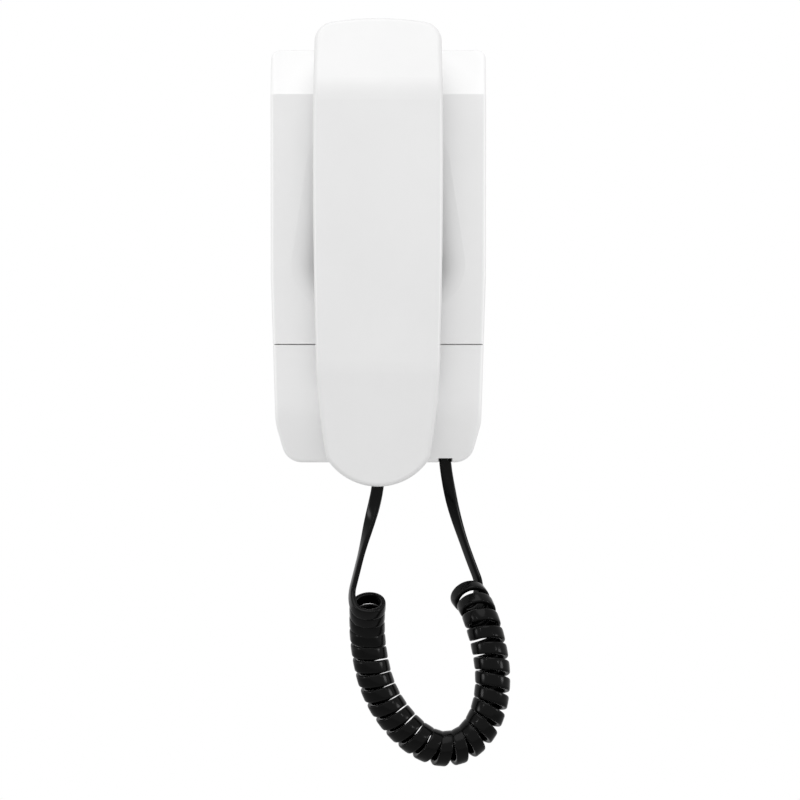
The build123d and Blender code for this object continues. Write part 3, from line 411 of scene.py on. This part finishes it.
def cordLine():
    rings = curlyCord["ringsPerTurn"]
    radius = (curlyCord["coilWidth"] - curlyCord["thickness"]) / 2
    leadIn = evenly(pointsOnSpline(curlyCord["handsetLead"]), curlyCord["leadRings"])
    leadOut = evenly(pointsOnSpline(curlyCord["baseLead"]), curlyCord["leadRings"])[::-1]
    spline = pointsOnSpline(curlyCord["middle"])
    middle = framesAlong(evenly(spline, curlyCord["turns"] * rings), Vector((-1, 0, 0)))
    turns = curlyCord["turns"] - 1 + lastTurnShare(middle, Vector((1, 0, 0)))
    steps = round(turns * rings)
    middle = framesAlong(evenly(spline, steps, curlyCord["openingPower"]), Vector((-1, 0, 0)))
    curls, outward = [], []
    for i, (spot, along, side) in enumerate(middle):
        turned = 2 * pi * turns * i / steps
        out = side * cos(turned) + side.cross(along) * sin(turned)
        loosened = 1 + curlyCord["endLoosening"] * max(0, 1 - min(i, steps - i) / rings)
        curls.append(spot + out * radius * loosened)
        outward.append(out)
    skip = rings // curlyCord["joinTurnPart"]  # the join takes the place of the first and last steps
    curls, outward = curls[skip:-skip], outward[skip:-skip]
    joinIn = bridge(leadIn[-2:], curls[:2], curlyCord["joinRings"])
    joinOut = bridge(curls[-2:], leadOut[:2], curlyCord["joinRings"])
    line = leadIn + joinIn + curls + joinOut + leadOut
    first = len(leadIn) + len(joinIn)
    flats = turnedFlats(line[:first + 1], outward[0])[:-1] + outward
    flats += turnedFlats(line[first + len(curls) - 1:][::-1], outward[-1])[::-1][1:]
    return line, flats


# The ribbon's flat side faces the front at the plug and turns evenly until it lies on the coil
def turnedFlats(spots, end):
    frames = framesAlong(spots, Vector((0, -1, 0)))
    along, flat = frames[-1][1], frames[-1][2]
    end = (end - along * end.dot(along)).normalized()
    angle = atan2(flat.cross(end).dot(along), flat.dot(end))
    sign = 1
    if abs(angle) > pi / 2:  # the other flat side is nearer
        angle -= pi if angle > 0 else -pi
        sign = -1
    result = []
    for i, (spot, way, side) in enumerate(frames):
        share = min(1, i / (len(frames) - 1) / curlyCord["twistShare"])
        turned = angle * share * share * (3 - 2 * share)
        result.append((side * cos(turned) + way.cross(side) * sin(turned)) * sign)
    return result


def ribbonMesh(name, line, flats):
    halfWidth, halfThick = curlyCord["width"] / 2, curlyCord["thickness"] / 2
    section = []
    points = curlyCord["sectionPoints"]
    for k in range(points):
        turn = 2 * pi * k / points
        c, s = cos(turn), sin(turn)
        across = halfWidth * (1 if c >= 0 else -1) * abs(c) ** curlyCord["squareness"]
        through = halfThick * (1 if s >= 0 else -1) * abs(s) ** curlyCord["squareness"]
        section.append((across, through))
    shape = bmesh.new()
    loops, last = [], len(line) - 1
    for i, spot in enumerate(line):
        along = (line[min(i + 1, last)] - line[max(i - 1, 0)]).normalized()
        flat = (flats[i] - along * flats[i].dot(along)).normalized()
        wide = along.cross(flat)
        loops.append([shape.verts.new(spot + wide * a + flat * t) for a, t in section])
    for before, after in zip(loops, loops[1:]):
        for k in range(len(section)):
            n = (k + 1) % len(section)
            shape.faces.new((before[k], before[n], after[n], after[k]))
    shape.faces.new(loops[0][::-1])
    shape.faces.new(loops[-1])
    bmesh.ops.recalc_face_normals(shape, faces=shape.faces)
    mesh = bpy.data.meshes.new(name)
    shape.to_mesh(mesh)
    shape.free()
    for face in mesh.polygons:
        face.use_smooth = True
    piece = bpy.data.objects.new(name, mesh)
    bpy.context.collection.objects.link(piece)
    return piece


def makeCord():
    line, flats = cordLine()
    cord = ribbonMesh("curlyCord", line, flats)
    cord.data.materials.append(finishes["cord_jacket"])
    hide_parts("cord_lead_handset", "cord_coil", "cord_lead_base")
    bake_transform(cord)


makeCord()
print("curly cord is made")


def bendSprings():
    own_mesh(nodes["door_spring"])
    coil = nodes["hook_spring"].copy()
    coil.data = coil.data.copy()
    coil.name = "stretchingSpring"
    bpy.context.collection.objects.link(coil)
    place = nodes["hook_spring"].matrix_world.copy()
    coil.parent = None
    coil.matrix_world = place
    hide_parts("hook_spring")
    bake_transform(coil)


bendSprings()
